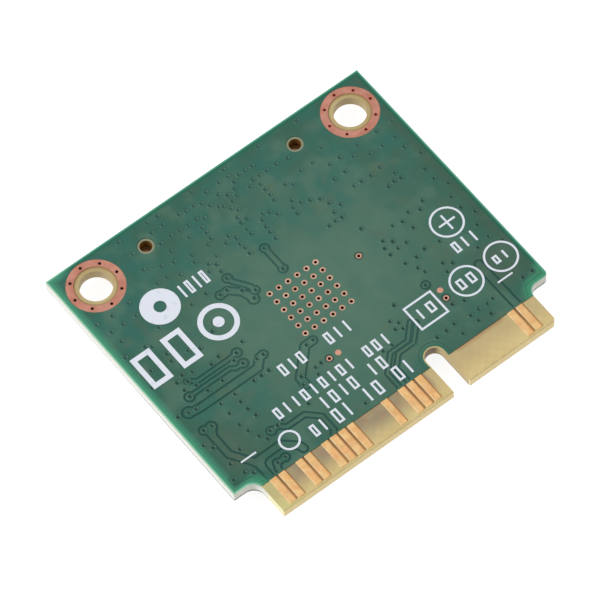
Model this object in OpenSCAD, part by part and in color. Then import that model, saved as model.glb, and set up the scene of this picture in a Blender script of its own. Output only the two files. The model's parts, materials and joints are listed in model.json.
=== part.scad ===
// Radio card for a laptop's half-length mini card slot, lying on the lid of its screening can.
// X runs along the contacts as seen from the bare back, Y from the contacts to the mounting holes,
// Z up out of the back. The origin is under the middle of the board, on the lid's outer face.

/* [Board outline] */
// Width of the board across the shoulders
board_w = 29.7; // [29:0.05:31]
// Length of the board from the contact end to the far edge
board_l = 26.55; // [26.3:0.05:28]
// Thickness of the bare laminate
laminate_t = 0.9; // [0.6:0.05:1.2]
// Width of the tongue that carries the contacts
tongue_w = 25.65; // [25.4:0.05:26]
// Clearance that the rear copper keeps from the tongue's sides
tongue_copper_gap = 0.45; // [0.3:0.05:0.6]
// Length of the tongue up to the shoulders
tongue_l = 3.4; // [3.2:0.05:4]
// Radius in the corner between tongue and left shoulder
left_fillet_r = 1; // [0.4:0.05:1.2]
// Radius in the corner between tongue and right shoulder
right_fillet_r = 0.8; // [0.4:0.05:1.2]
// Radius of the rounded lower right corner of the board
shoulder_corner_r = 0.4; // [0.2:0.05:0.8]
// Bevel along the contact end, on both faces
edge_bevel = 0.1; // [0.05:0.01:0.15]
// Corner cut on the tongue's right end
tongue_cut = 0.3; // [0.1:0.05:0.5]

/* [Key slot] */
// Distance of the slot's centre from the middle of the board
key_x = 3.85; // [3.7:0.05:4]
// Width of the slot
key_w = 1.55; // [1.2:0.05:1.6]
// Depth of the slot from the contact end
key_l = 4; // [3.6:0.05:4.2]
// How far the solder mask stays back from the slot
key_mask_gap = 0.12; // [0.05:0.01:0.2]

/* [Contacts] */
// Spacing of the contacts on one face
contact_pitch = 0.8; // [0.78:0.01:0.8]
// Width of a contact
contact_w = 0.62; // [0.4:0.02:0.66]
// Thickness of a contact with its plating, and of the copper on either face
copper_t = 0.05; // [0.03:0.005:0.07]
// Margin between a contact's end and the board's end
contact_margin = 0.22; // [0.16:0.01:0.4]
// Height of the mask's edge above the board's end
mask_edge_y = 2.7; // [2.4:0.05:3]
// How far a contact runs on under the mask
contact_tuck = 0.13; // [0.05:0.01:0.2]

/* [Mounting holes] */
// Diameter of a mounting hole
mount_d = 2.6; // [2.2:0.05:2.8]
// Distance of the holes' centres from the board's sides
mount_side = 2.75; // [2.65:0.05:2.95]
// Distance of the holes' centres from the far edge
mount_inset = 2.65; // [2.5:0.05:2.8]
// Outer diameter of the bare copper ring
ring_od = 4.6; // [4.2:0.05:4.8]
// Inner diameter of the bare copper ring
ring_id = 3.4; // [3:0.05:3.5]
// Number of vias in a ring
ring_via_count = 8; // [4:1:10]
// Diameter of the circle that the ring's vias lie on
ring_via_pcd = 3.92; // [3.84:0.02:4]

/* [Vias] */
// Bore of a plated via
via_d = 0.26; // [0.2:0.01:0.28]
// Thickness of the plating in a via
via_plate = 0.04; // [0.03:0.01:0.05]
// Vias along each side of the heat field
heat_via_count = 6; // [4:1:7]
// Spacing of the heat vias
heat_via_pitch = 0.87; // [0.8:0.01:0.9]
// Bare copper round a heat via
heat_land_d = 0.5; // [0.42:0.02:0.6]
// Diameter of the copper of a test land
test_land_d = 0.48; // [0.44:0.02:0.52]
// Width of the ring cut in the copper round a test land
test_moat = 0.13; // [0.1:0.01:0.16]

/* [Solder mask] */
// Mask on top of the rear copper
mask_over = 0.025; // [0.015:0.005:0.04]
// Mask where the rear face has no copper
mask_floor = 0.035; // [0.02:0.005:0.045]
// Width of the gap between a track and the pour round it
track_gap = 0.2; // [0.16:0.01:0.22]
// Mask left standing against each copper edge in a gap
mask_bank = 0.02; // [0.01:0.005:0.03]
// Bare border without copper along the sides and the far edge
copper_border = 0.36; // [0.3:0.02:0.5]
// Thickness of the white print
print_t = 0.012; // [0.008:0.002:0.02]
// Width of the fine printed lines
print_w = 0.17; // [0.12:0.01:0.2]
// Width of the bold printed lines
bold_w = 0.42; // [0.3:0.02:0.5]
// Outer radius of the three fine printed rings on the right
small_ring_r = 1.36; // [1.1:0.02:1.4]
// Length of the printed tick over each end of the tongue
tick_l = 1.4; // [1:0.1:1.8]
// Width of those ticks
tick_w = 0.14; // [0.1:0.01:0.2]
// Distance of those ticks from the shoulders
tick_gap = 1.7; // [1.2:0.02:1.9]

/* [Screening can] */
// Height of the can over the front of the board
can_h = 1.4; // [1.35:0.05:1.6]
// Distance of the can from the board's sides
can_side = 1.25; // [1.05:0.05:1.6]
// Lower edge of the can, from the contact end
can_y0 = 5.1; // [4.8:0.1:5.6]
// Gap between the can and the mounting rings
can_ring_gap = 0.4; // [0.3:0.05:0.8]
// Gap between the can's neck and the antenna receptacles
neck_gap = 0.9; // [0.7:0.05:1.2]
// Distance of the neck's end from the far edge of the board
neck_inset = 0.9; // [0.7:0.1:1.4]
// Corner radius of the can
can_r = 0.7; // [0.5:0.05:1]
// Sheet thickness of the lid
lid_t = 0.13; // [0.1:0.01:0.15]
// Height of the lid's skirt, top sheet included
skirt_h = 0.95; // [0.8:0.05:1.05]
// Width of the slits between the skirt's fingers
slit_w = 0.35; // [0.25:0.05:0.5]
// Widest finger of the skirt
finger_w = 3.4; // [2.8:0.1:4.5]
// Sheet thickness of the fence
fence_t = 0.15; // [0.1:0.01:0.2]
// Gap between the skirt and the fence
snap_gap = 0.02; // [0.01:0.005:0.03]
// Width of the fence's top flange
flange_w = 0.6; // [0.4:0.05:0.8]
// Width of the bridge across the fence
bridge_w = 1.1; // [0.8:0.1:1.6]
// Distance of the bridge from the can's upper edge
bridge_inset = 1.3; // [0.8:0.1:2]
// Diameter of the holes in the fence that the lid's dimples snap into
snap_hole_d = 0.5; // [0.46:0.02:0.56]
// Diameter of the ball that presses a dimple
dimple_d = 0.4; // [0.36:0.02:0.44]
// Width of the openings in the foot of the fence
notch_w = 0.8; // [0.6:0.05:1]
// Height of the openings in the foot of the fence
notch_h = 0.22; // [0.15:0.01:0.3]
// Width of the solder land under the fence
fence_land_w = 0.45; // [0.35:0.05:0.6]
// How far the solder lands reach out round the metal ends of the parts
land_rim = 0.05; // [0.03:0.01:0.08]

/* [Antenna receptacles] */
// Distance of each receptacle from the mounting hole beside it
jack_offset = 5; // [4.8:0.05:5.2]
// Distance of the receptacles from the far edge
jack_inset = 2.25; // [2.1:0.05:2.4]
// Side of the receptacle's square base
jack_base = 2.6; // [2.4:0.05:2.7]
// Thickness of the base
jack_base_t = 0.35; // [0.3:0.05:0.4]
// Height of the receptacle over the board
jack_h = 1.25; // [1.1:0.05:1.3]
// Outer diameter of the shell's collar
jack_od = 2; // [1.9:0.02:2.1]
// Wall of the collar
jack_wall = 0.2; // [0.15:0.01:0.25]
// Depth of the snap groove round the collar
jack_groove = 0.08; // [0.05:0.01:0.1]
// Bevel round the collar's mouth
jack_bevel = 0.08; // [0.04:0.01:0.1]
// Width of the feet that hold the base down, out from the base
foot_t = 0.2; // [0.15:0.01:0.25]
// Length of those feet
foot_l = 1.8; // [1.4:0.1:2]
// Thickness of the straps that join them to the collar
strap_t = 0.1; // [0.08:0.01:0.12]
// Diameter of the centre pin
jack_pin_d = 0.5; // [0.4:0.02:0.56]
// How far the pin stays below the collar's mouth
pin_recess = 0.25; // [0.15:0.05:0.35]
// Thickness of the pin's tail
jack_tail_t = 0.1; // [0.06:0.01:0.14]
// Diameter of the hole through the board behind each receptacle
jack_hole_d = 1; // [0.9:0.05:1.1]
// Diameter of the mask's opening round that hole
jack_mask_d = 1.4; // [1.25:0.05:1.6]
// How much wider the copper's opening is than the mask's
jack_copper_gap = 0.1; // [0.06:0.02:0.2]

/* [Chips under the can] */
// Side of the square radio chip
chip_w = 9; // [8:0.5:10]
// Height of the radio chip over the board
chip_h = 0.85; // [0.7:0.05:0.9]
// Distance of the radio chip's centre from the middle of the board
chip_x = -0.23; // [-0.5:0.01:0.5]
// Distance of the radio chip's centre from half the board's length
chip_drop = 0.28; // [0:0.02:0.6]
// Gap under every chip, filled by its lands
standoff = 0.05; // [0.03:0.01:0.08]
// Lands along each side of the radio chip
chip_land_count = 17; // [13:2:17]
// Spacing of the chip's lands
chip_land_pitch = 0.45; // [0.4:0.01:0.46]
// Side of the radio chip's heat land
heat_side = 5.1; // [4.9:0.1:5.6]
// Side of the pocket pressed into the lid over the chip
pocket_w = 7; // [6:0.5:8]
// Depth of that pocket
pocket_d = 0.15; // [0.1:0.01:0.2]
// Side of an amplifier chip
amp_w = 3; // [2.5:0.1:3.5]
// Height of an amplifier chip
amp_h = 0.75; // [0.6:0.05:0.9]
// Bevel round the top of the moulded packages
package_bevel = 0.06; // [0.03:0.01:0.1]
// Depth of the round mark beside a package's first lead
mark_depth = 0.05; // [0.02:0.01:0.1]
// Length of the crystal
crystal_l = 3.2; // [2.5:0.1:3.2]
// Width of the crystal
crystal_w = 2.5; // [2:0.1:2.5]
// Height of the crystal
crystal_h = 0.75; // [0.6:0.05:0.85]
// Height of the metal lid on the crystal's base
crystal_lid_h = 0.3; // [0.2:0.05:0.35]
// Length of the memory's body
memory_l = 3; // [2.8:0.1:3.2]
// Width of the memory's body
memory_w = 3; // [2.8:0.1:3.2]
// Height of the memory
memory_h = 0.95; // [0.85:0.05:1]
// Width over the memory's leads
memory_span = 4.9; // [4.7:0.1:5.1]
// Width of a memory lead
lead_w = 0.22; // [0.16:0.02:0.3]
// Thickness of a memory lead
lead_t = 0.13; // [0.1:0.01:0.18]
// Side of the supply regulator
regulator_w = 3; // [2.5:0.1:3.2]
// Height of the supply regulator
regulator_h = 0.8; // [0.6:0.05:0.9]
// Length of a supply inductor
inductor_l = 2.5; // [2:0.1:2.6]
// Width of a supply inductor
inductor_w = 2; // [1.6:0.1:2.1]
// Height of a supply inductor
inductor_h = 1; // [0.8:0.05:1.05]
// Length of each metal end of an inductor
inductor_end = 0.5; // [0.3:0.05:0.6]
// Length of a band filter
filter_l = 2; // [1.6:0.1:2.2]
// Width of a band filter
filter_w = 1.25; // [1:0.05:1.4]
// Height of a band filter
filter_h = 0.7; // [0.5:0.05:0.85]

/* [Small parts] */
// Length of a small ceramic part
small_l = 1; // [0.9:0.05:1.05]
// Width of a small ceramic part
small_w = 0.5; // [0.4:0.05:0.55]
// Height of a capacitor
capacitor_h = 0.5; // [0.4:0.05:0.6]
// Height of a resistor
resistor_h = 0.35; // [0.3:0.05:0.4]
// Length of each metal end of a small part
end_l = 0.22; // [0.18:0.01:0.26]

/* [Hidden] */
$fn = 32;
// A little more than nothing, for cuts that run past a face
eps = 0.01;

// Heights, from the lid's outer face up to the print
front_z = can_h;
laminate_z = front_z + copper_t;
rear_z = laminate_z + laminate_t;
copper_top_z = rear_z + copper_t;
mask_top_z = copper_top_z + mask_over;

// Places measured from the contact end and from the middle line
mount_x = board_w / 2 - mount_side;
mount_y = board_l - mount_inset;
jack_x = mount_x - jack_offset;
jack_y = board_l - jack_inset;
can_w = board_w - 2 * can_side;
can_y1 = mount_y - ring_od / 2 - can_ring_gap;
neck_w = 2 * (jack_x - jack_base / 2 - foot_t - neck_gap);
neck_y = board_l - neck_inset;
chip_y = board_l / 2 - chip_drop;
key_mid_y = key_l - key_w / 2;
contact_top_y = mask_edge_y + contact_tuck;
ring_via_d = via_d + 2 * via_plate;

// Filled contact places on each face, counted from the left, and the place under the board's middle line.
// The front's row lies half a pitch further right, and places that the tongue has no room for stay empty.
rear_places = [0, 1, 3, 4, 6, 7, 8, 9, 13, 15, 16, 17, 28, 29];
front_places = [for (k = [0:29]) if (k < 18 || k > 21) k];
rear_middle = 14.75;
front_middle = 14.25;

// Tracks on the back: width, then the corners of the route
tracks = [
    [0.5, [[-12.9, 10.76], [-12.3, 10.7], [-6.95, 10.7], [-6.35, 11.3], [-5.95, 11.35]]],
    [0.17, [[-12.38, 11.95], [-8.62, 11.95], [-8.25, 11.68], [-7.57, 11.68]]],
    [0.17, [[-11.8, 13.12], [-11.15, 12.63], [-8.2, 12.63], [-7.4, 12.7]]],
    [0.5, [[-12.75, 8.9], [-13.05, 8.3]]],
    [0.42, [[-13.09, 8.9], [-13.09, 6.25], [-12.1, 4.7], [-11.9, 4.2], [-11.87, 3.6], [-11.87, 2.6]]],
    [0.44, [[-12, 4.53], [-9.6, 4.53], [-8.6, 3.6], [-8.5, 3.2]]],
    [0.42, [[-11.87, 3.75], [-11.72, 4.2], [-11.3, 4.53]]],
    [0.3, [[-10, 3.46], [-10.75, 3.46], [-11, 3.1], [-11, 2.6]]],
    [0.24, [[-9.45, 5.85], [-8.85, 5.85], [-8.35, 5.4], [-6.7, 5.4], [-5.8, 4.5], [-5.8, 3], [-6.2, 2.6]]],
    [0.16, [[0.2, 2.6], [0.2, 4.25], [1.45, 5.5], [3.1, 5.5], [4.25, 6.65]]],
    [0.16, [[1, 2.6], [1, 4.2], [1.9, 5.1], [3.35, 5.1], [4.6, 6.35]]],
    [0.48, [[11.38, 2.6], [11.34, 3.3], [11.34, 7.3]]],
    [0.5, [[-2.35, 9.97], [-3.1, 9.97], [-5.07, 8], [-5.07, 7.3]]],
    [0.24, [[-4.05, 18.2], [-3.92, 17.7], [-3.38, 16.95], [-3.15, 16.55], [-3.07, 16.1]]],
    [0.44, [[-5.35, 17.36], [-4.7, 17.36], [-3.95, 16.6], [-3.78, 16.2], [-3.6, 15.6]]],
    [0.3, [[-0.28, 18.5], [-0.28, 16.25]]]
];
// Round ends of the tracks, and lone covered lands: place and diameter
pads = [
    [-13.28, 10.92, 0.76], [-12.4, 11.93, 0.6], [-7.57, 11.68, 0.58], [-7.4, 12.7, 0.58],
    [-13.28, 9, 0.6], [-12.7, 8.92, 0.68], [-10.75, 3.46, 0.5], [-10, 3.46, 0.5], [-9.45, 5.85, 0.56],
    [-4.05, 18.2, 0.56], [-3.07, 16.1, 0.54], [-5.35, 17.36, 0.54], [-3.6, 15.55, 0.68],
    [-0.28, 18.5, 0.54], [-0.28, 16.25, 0.54], [7.12, 8.4, 0.48]
];
// Test lands with a hole, and plain ones
test_vias_at = [[-2.35, 8], [7.62, 6.6], [4.8, 13.55]];
test_dots_at = [[-1.53, 8], [7.68, 7.4]];
test_dot_d = 0.5;

// Columns and rows that the parts under the board stand in: beside the radio chip, along the can's
// sides, below its upper edge, above its lower one, and between it and the contacts
near_left = chip_x - chip_w / 2 - 1.67;
far_left = near_left - 1.2;
near_right = chip_x + chip_w / 2 + 1.73;
far_right = near_right + 1.2;
row_low = chip_y - chip_w / 2 - 1.3;
row_high = chip_y + chip_w / 2 + 1.1;
side_x = can_w / 2;
row_foot = can_y0 - 1.2;

// Small parts under the board: place and turn
capacitors_at = [
    [near_left, chip_y + 2.6, 90], [near_left, chip_y + 0.9, 90], [near_left, chip_y - 0.8, 90],
    [near_left, chip_y - 2.5, 90], [near_right, chip_y + 2.8, 90], [near_right, chip_y + 1.1, 90],
    [near_right, chip_y - 2.4, 90], [-3.6, row_low, 0], [-1.8, row_low, 0], [0, row_low, 0],
    [-3.4, row_high, 0], [-1.6, row_high, 0], [2.2, row_high, 0], [3 - side_x, can_y1 - 1.4, 0],
    [side_x - 3, can_y1 - 1.4, 0], [-3.2, can_y1 + 1.4, 0], [3.2, can_y1 + 1.4, 0],
    [side_x - 1.7, can_y0 + 0.85, 0], [0.6, row_foot, 90], [-0.2, row_foot, 90], [-7.4, row_foot, 90],
    [8.6, row_foot, 90]
];
resistors_at = [
    [far_right, chip_y + 2.8, 90], [far_right, chip_y + 1.1, 90], [far_right, chip_y - 2.4, 90],
    [far_left, chip_y + 1.8, 90], [far_left, chip_y + 0.1, 90], [1.8, row_low, 0], [0.2, row_high, 0],
    [1.6 - side_x, chip_y - 0.4, 90], [side_x - 1.4, chip_y - 1, 90], [4 - side_x, can_y0 + 0.95, 0],
    [-5.2, row_foot, 90], [6.6, row_foot, 90]
];
amps_at = [[-jack_x - 0.1, can_y1 - 3], [jack_x + 0.1, can_y1 - 3]];
filters_at = [[-2.6, can_y1 - 0.6], [2.6, can_y1 - 0.6]];
crystal_at = [side_x - 3.6, chip_y + 1.6];
memory_at = [3 - side_x, chip_y - 3.6];
regulator_at = [side_x - 4, chip_y - 2.4];
inductors_at = [[near_right - 0.9, row_low], [side_x - 5, row_low + 0.2]];

// Copper-free strips beyond the plain border: along the left side, and above the two shoulders
left_extra = 0.12;
left_shoulder_gap = 0.65;
right_shoulder_gap = 0.45;

// Colours
laminate_c = [0.76, 0.68, 0.47];
copper_c = [0.82, 0.52, 0.45];
mask_c = [0.22, 0.44, 0.36];
gold_c = [0.93, 0.7, 0.42];
print_c = [0.9, 0.9, 0.94];
tin_c = [0.76, 0.77, 0.78];
steel_c = [0.7, 0.7, 0.69];
resin_c = [0.85, 0.82, 0.74];
chip_c = [0.1, 0.1, 0.11];
pad_c = [0.62, 0.66, 0.7];
ceramic_c = [0.62, 0.5, 0.38];
ferrite_c = [0.24, 0.24, 0.25];

// Parts are drawn with Y from the contact end; this puts them round the board's middle
module centred() {
    translate([0, -board_l / 2, 0]) children();
}

// Layers on the laminate's back, with their underside at a height over it
module on_back(height) {
    translate([0, 0, rear_z + height]) children();
}

// Parts on the front stand on the board's front face and point down
module on_front() {
    translate([0, 0, front_z]) mirror([0, 0, 1]) children();
}

// A rectangle by its two corners
module box2(x0, y0, x1, y1) {
    translate([x0, y0]) square([x1 - x0, y1 - y0]);
}

// A rectangle with round corners by its two corners
module round_box2(x0, y0, x1, y1, r) {
    box2(x0 + r, y0, x1 - r, y1);
    box2(x0, y0 + r, x1, y1 - r);
    for (x = [x0 + r, x1 - r], y = [y0 + r, y1 - r]) translate([x, y]) circle(r);
}

// A centred block that stands on the board
module block(x, y, w, l, h, turn = 0) {
    translate([x, y, 0]) rotate(turn) translate([-w / 2, -l / 2, 0]) cube([w, l, h]);
}

// Side view of a moulded package between two heights, with its top edges bevelled
function package_side(w, z0, z1) = [
    [-w / 2, z0], [w / 2, z0], [w / 2, z1 - package_bevel], [w / 2 - package_bevel, z1],
    [package_bevel - w / 2, z1], [-w / 2, z1 - package_bevel]
];

module package(x, y, w, l, z0, z1) {
    translate([x, y, 0]) intersection() {
        rotate([90, 0, 0]) linear_extrude(l, center = true) polygon(package_side(w, z0, z1));
        rotate([90, 0, 90]) linear_extrude(w, center = true) polygon(package_side(l, z0, z1));
    }
}

// The round mark sunk into a package beside its first lead
module first_mark(x, y, w, h, d) {
    inset = 0.5 * d + 0.25;
    translate([x - w / 2 + inset, y - w / 2 + inset, h - mark_depth]) cylinder(h = 2 * mark_depth, d = d);
}

// A run of tracks through its corners, with round joints
module run2(points, w) {
    for (i = [0:len(points) - 2]) {
        a = points[i];
        b = points[i + 1];
        translate(a) rotate(atan2(b[1] - a[1], b[0] - a[0])) translate([0, -w / 2])
            square([norm(b - a), w]);
    }
    for (p = points) translate(p) circle(d = w);
}

// Every track and covered land, made wider by the given amount on each side
module tracks2(grow) {
    for (t = tracks) run2(t[1], t[0] + 2 * grow);
    for (p = pads) translate([p[0], p[1]]) circle(d = p[2] + 2 * grow);
}

// Places of the vias in the heat field and in the mounting rings
module at_heat_vias() {
    half = (heat_via_count - 1) / 2;
    for (i = [-half:half], j = [-half:half])
        translate([chip_x + i * heat_via_pitch, chip_y + j * heat_via_pitch]) children();
}

module at_mounts() {
    for (s = [-1, 1]) translate([s * mount_x, mount_y]) children();
}

module at_ring_vias() {
    at_mounts() for (k = [0:ring_via_count - 1]) rotate(k * 360 / ring_via_count)
        translate([ring_via_pcd / 2, 0]) children();
}

module at_test_vias() {
    for (p = test_vias_at) translate(p) children();
}

module at_jacks() {
    for (s = [-1, 1]) translate([s * jack_x, jack_y]) children();
}

// The key slot, grown by a margin
module key2(grow) {
    box2(key_x - key_w / 2 - grow, -eps, key_x + key_w / 2 + grow, key_mid_y);
    translate([key_x, key_mid_y]) circle(key_w / 2 + grow);
}

// Outline of the board without its holes
module outline2() {
    half = board_w / 2;
    tongue = tongue_w / 2;
    difference() {
        union() {
            box2(-half, tongue_l, half - shoulder_corner_r, board_l);
            box2(-half + eps, tongue_l + shoulder_corner_r, half, board_l);
            translate([half - shoulder_corner_r, tongue_l + shoulder_corner_r]) circle(shoulder_corner_r);
            box2(-tongue, 0, tongue, tongue_l + eps);
            box2(-tongue - left_fillet_r, tongue_l - left_fillet_r, -tongue + eps, tongue_l + eps);
            box2(tongue - eps, tongue_l - right_fillet_r, tongue + right_fillet_r, tongue_l + eps);
        }
        translate([-tongue - left_fillet_r, tongue_l - left_fillet_r]) circle(left_fillet_r);
        translate([tongue + right_fillet_r, tongue_l - right_fillet_r]) circle(right_fillet_r);
        translate([tongue, 0]) rotate(-45) square([tongue_cut, 2 * tongue_cut], center = true);
    }
}

// Mounting holes and the holes behind the receptacles
module holes2() {
    at_mounts() circle(d = mount_d);
    at_jacks() circle(d = jack_hole_d);
}

module laminate() {
    color(laminate_c) centred() difference() {
        translate([0, 0, laminate_z]) linear_extrude(laminate_t) difference() {
            outline2();
            key2(0);
            holes2();
            at_heat_vias() circle(d = ring_via_d);
            at_ring_vias() circle(d = ring_via_d);
            at_test_vias() circle(d = ring_via_d);
        }
        for (z = [laminate_z, rear_z]) translate([0, 0, z]) rotate([45, 0, 0])
            cube([board_w, edge_bevel * sqrt(2), edge_bevel * sqrt(2)], center = true);
    }
}

// Where the rear copper may lie: inside the bare border and clear of the key, grown by a margin
module copper_zone2(grow) {
    side = board_w / 2 - copper_border + grow;
    left = side - left_extra;
    top = board_l - copper_border + grow;
    low_left = tongue_l + left_shoulder_gap - grow;
    low_right = tongue_l + right_shoulder_gap - grow;
    tongue = tongue_w / 2 - tongue_copper_gap + grow;
    bend = tongue_copper_gap + 0.05;
    difference() {
        polygon([
            [-left, top], [side, top], [side, low_right], [tongue + bend, low_right - bend / 5],
            [tongue, contact_top_y], [-tongue, contact_top_y], [-tongue - bend, low_left - bend / 2],
            [-left, low_left]
        ]);
        key2(key_mask_gap + copper_border - grow);
    }
}

// The copper of the back: the pour with its gaps, the tracks and the test lands
module rear_copper2() {
    difference() {
        union() {
            difference() {
                copper_zone2(0);
                tracks2(track_gap);
                at_mounts() circle(d = ring_id);
                at_jacks() circle(d = jack_mask_d + jack_copper_gap);
                at_test_vias() circle(d = test_land_d + 2 * test_moat);
                box2(-board_w, 0, board_w, contact_top_y);
            }
            difference() {
                tracks2(0);
                box2(-board_w, 0, board_w, contact_top_y);
            }
            at_test_vias() circle(d = test_land_d);
        }
        at_heat_vias() circle(d = via_d);
        at_ring_vias() circle(d = via_d);
        at_test_vias() circle(d = via_d);
    }
}

module rear_copper() {
    color(copper_c) centred() on_back(0) linear_extrude(copper_t) rear_copper2();
}

// A row of contacts by their places, as far as the tongue has room for them
module contacts2(places, middle) {
    room = tongue_w / 2 - contact_w / 2 - contact_margin;
    for (k = places) {
        x = (k - middle) * contact_pitch;
        if (abs(x) < room) box2(x - contact_w / 2, contact_margin, x + contact_w / 2, contact_top_y);
    }
}

module rear_contacts2() {
    contacts2(rear_places, rear_middle);
}

module front_contacts2() {
    contacts2(front_places, front_middle);
}

module rear_contacts() {
    color(gold_c) centred() on_back(0) linear_extrude(copper_t) rear_contacts2();
}

module front_contacts() {
    color(gold_c) centred() translate([0, 0, front_z]) linear_extrude(copper_t) front_contacts2();
}

// Outline of the mask on either face, with its openings
module mask2() {
    difference() {
        outline2();
        box2(-board_w, -eps, board_w, mask_edge_y);
        key2(key_mask_gap);
        at_mounts() circle(d = ring_od);
        at_jacks() circle(d = jack_mask_d);
    }
}

// Floor of the gaps beside the tracks and round the test lands, where the mask dips
module dips2() {
    difference() {
        tracks2(track_gap - mask_bank);
        tracks2(mask_bank);
        box2(-board_w, 0, board_w, contact_top_y);
    }
    at_test_vias() difference() {
        circle(d = test_land_d + 2 * (test_moat - mask_bank));
        circle(d = test_land_d + 2 * mask_bank);
    }
}

module rear_mask() {
    color(mask_c) centred() on_back(0) difference() {
        linear_extrude(copper_t + mask_over) difference() {
            mask2();
            at_heat_vias() circle(d = heat_land_d);
            at_test_vias() circle(d = test_land_d);
            for (p = test_dots_at) translate(p) circle(d = test_dot_d);
        }
        translate([0, 0, -eps]) linear_extrude(copper_t + eps) rear_copper2();
        translate([0, 0, -eps]) linear_extrude(copper_t + eps) rear_contacts2();
        translate([0, 0, mask_floor]) linear_extrude(copper_t + mask_over) dips2();
        translate([0, 0, mask_floor]) linear_extrude(copper_t + mask_over) difference() {
            outline2();
            copper_zone2(mask_bank);
            box2(-tongue_w / 2, 0, tongue_w / 2, contact_top_y + mask_bank);
        }
    }
}

// A printed ring
module ring2(x, y, r, w = print_w) {
    translate([x, y]) difference() {
        circle(r);
        circle(r - w);
    }
}

// A row of plain printed signs: 0 is an open box, 1 is a bar, 2 is a gap
module signs2(x0, y, h, pitch, row) {
    w = 0.6 * pitch;
    for (k = [0:len(row) - 1]) translate([x0 + (k + 0.5) * pitch, y]) {
        if (row[k] == 0) frame2(-w / 2, -h / 2, w / 2, h / 2);
        if (row[k] == 1) square([print_w, h], center = true);
    }
}

// A printed frame by two corners
module frame2(x0, y0, x1, y1, w = print_w) {
    difference() {
        box2(x0, y0, x1, y1);
        box2(x0 + w, y0 + w, x1 - w, y1 - w);
    }
}

// The print on the back: a disc, rings, frames and rows of plain signs. What stands near a side of
// the board is placed from that side.
module rear_print() {
    side = board_w / 2;
    tick_end = tongue_w / 2;
    tick_y = tongue_l + tick_gap;
    color(print_c) centred() on_back(copper_t + mask_over) linear_extrude(print_t) {
        difference() {
            translate([5.4 - side, 19.45]) circle(1.56);
            translate([5.4 - side, 19.45]) circle(0.5);
        }
        signs2(7.15 - side, 19.42, 1.2, 0.68, [1, 0, 1, 0]);
        frame2(0.8 - side, 14.07, 2.6 - side, 17.17, bold_w);
        frame2(3.6 - side, 14.07, 5.4 - side, 17.17, bold_w);
        ring2(8.01 - side, 15.66, 1.6, bold_w);
        translate([8.01 - side, 15.66]) circle(0.45);
        signs2(-6.05, 9.38, 1.05, 0.85, [0, 1, 0]);
        signs2(-1.75, 9.38, 1.05, 0.85, [0, 1, 1]);
        signs2(-8.6, 6.7, 1, 0.84, [0, 1, 1, 0, 1, 0, 1, 0, 1, 2, 0, 0, 1]);
        signs2(-5.4, 5.27, 1.12, 0.9, [1, 0, 1, 0, 2, 1, 0]);
        ring2(-8.9, 4.42, 0.85);
        signs2(-7.35, 3.88, 1.05, 0.8, [0, 1]);
        signs2(-5.35, 3.8, 1.25, 0.95, [0, 1, 2, 1, 0, 2, 0, 1]);
        ring2(side - 5.14, 6.77, small_ring_r);
        signs2(side - 6.1, 6.77, 0.95, 0.95, [0, 0]);
        ring2(side - 1.81, 6.8, small_ring_r);
        signs2(side - 2.65, 6.8, 0.75, 0.8, [0, 1]);
        ring2(side - 3.1, 11.68, small_ring_r);
        translate([side - 3.1, 11.68]) for (turn = [0, 90]) rotate(turn)
            square([1.5, print_w], center = true);
        signs2(side - 4.33, 9.52, 1, 0.82, [0, 1, 1]);
        frame2(4.45, 5.5, 7.1, 7.88);
        signs2(4.75, 6.7, 0.95, 1, [1, 0]);
        for (x = [-tick_end, tick_end - tick_l]) box2(x, tick_y, x + tick_l, tick_y + tick_w);
    }
}

// Plated barrels through the laminate
module barrel() {
    translate([0, 0, laminate_z]) linear_extrude(laminate_t) difference() {
        circle(d = ring_via_d);
        circle(d = via_d);
    }
}

module heat_vias() {
    color(copper_c) centred() at_heat_vias() barrel();
}

module ring_vias() {
    color(copper_c) centred() at_ring_vias() barrel();
}

module test_vias() {
    color(copper_c) centred() at_test_vias() barrel();
}

// Outline of the can, shrunk by a margin: a broad body and a neck between the receptacles
module can2(shrink) {
    r = max(can_r - shrink, 0.05);
    round_box2(-can_w / 2 + shrink, can_y0 + shrink, can_w / 2 - shrink, can_y1 - shrink, r);
    round_box2(-neck_w / 2 + shrink, can_y0 + can_r, neck_w / 2 - shrink, neck_y - shrink, r);
}

// Solder lands on the front
fence_out = lid_t + snap_gap;
module fence_land2() {
    spread = (fence_land_w - fence_t) / 2;
    difference() {
        can2(fence_out - spread);
        can2(fence_out + fence_t + spread);
    }
}

module small_lands2(places) {
    for (p = places) translate([p[0], p[1]]) rotate(p[2]) for (s = [-1, 1])
        translate([s * (small_l - end_l) / 2, 0])
            square([end_l + 2 * land_rim, small_w + 2 * land_rim], center = true);
}

module jack_lands2() {
    at_jacks() {
        for (s = [-1, 1]) translate([s * jack_base / 2, 0])
            square([2 * foot_t + 0.3, foot_l + 8 * land_rim], center = true);
        translate([0, -jack_base / 2]) square([jack_pin_d + 4 * land_rim, 0.6], center = true);
    }
}

// Lands of a square package: a big one in the middle and a row along each side
module square_lands2(w, middle, count, pitch, land) {
    half = (count - 1) / 2;
    square(middle, center = true);
    for (turn = [0:90:270], k = [-half:half]) rotate(turn)
        translate([k * pitch, -w / 2 + land[1] / 2 + land_rim]) square(land, center = true);
}

module chip_lands2() {
    translate([chip_x, chip_y])
        square_lands2(chip_w, heat_side, chip_land_count, chip_land_pitch, [chip_land_pitch / 2, 0.4]);
}

module package_lands2(places, w, count, pitch) {
    for (p = places) translate(p) square_lands2(w, w / 2, count, pitch, [pitch / 2, 0.36]);
}

module two_lands2(places, l, w, land) {
    for (p = places, s = [-1, 1]) translate([p[0] + s * (l - land) / 2, p[1]])
        square([land, w], center = true);
}

module crystal_lands2() {
    translate(crystal_at) for (x = [-1, 1], y = [-1, 1])
        translate([x * (crystal_l / 2 - 0.5), y * (crystal_w / 2 - 0.4)])
            square([0.9, 0.75], center = true);
}

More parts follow.
